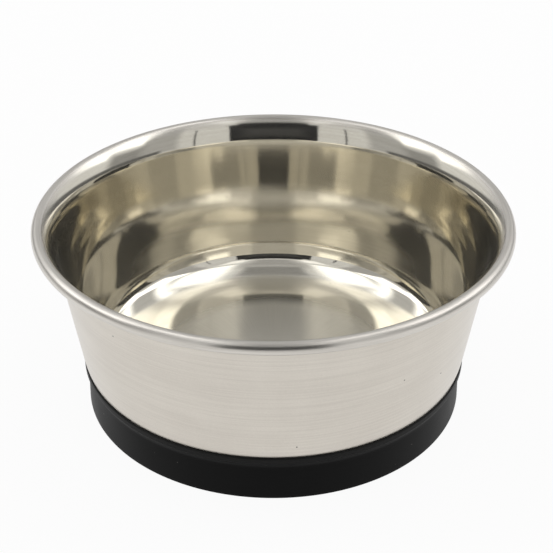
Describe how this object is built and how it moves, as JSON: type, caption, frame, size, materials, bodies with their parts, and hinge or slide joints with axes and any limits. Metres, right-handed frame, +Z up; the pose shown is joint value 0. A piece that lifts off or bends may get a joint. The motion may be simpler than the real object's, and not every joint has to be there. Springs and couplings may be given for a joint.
{
  "type": "dog bowl",
  "caption": "Round pressed steel pet bowl with tapered wall and rolled rim, standing in a removable black rubber anti-slip foot ring.",
  "frame": {"origin": "on the table, under the middle of the bowl", "axes": "+Z up along the bowl's axis; X and Y lie in the table's plane, and no direction round the bowl differs from another"},
  "size_m": [0.19, 0.19, 0.081],
  "materials": {
    "steel": "satin brushed outside, polished inside with a turned floor",
    "rubber": "smooth, semi-matt, black"
  },
  "bodies": {
    "ring": {"foot_ring": "rubber"},
    "bowl": {"bowl_shell": "steel"}
  },
  "joints": [
    {"name": "bowl_lift", "type": "slide", "parent": "ring", "child": "bowl", "axis": [0, 0, 1], "range_m": [0, 0.04]}
  ]
}
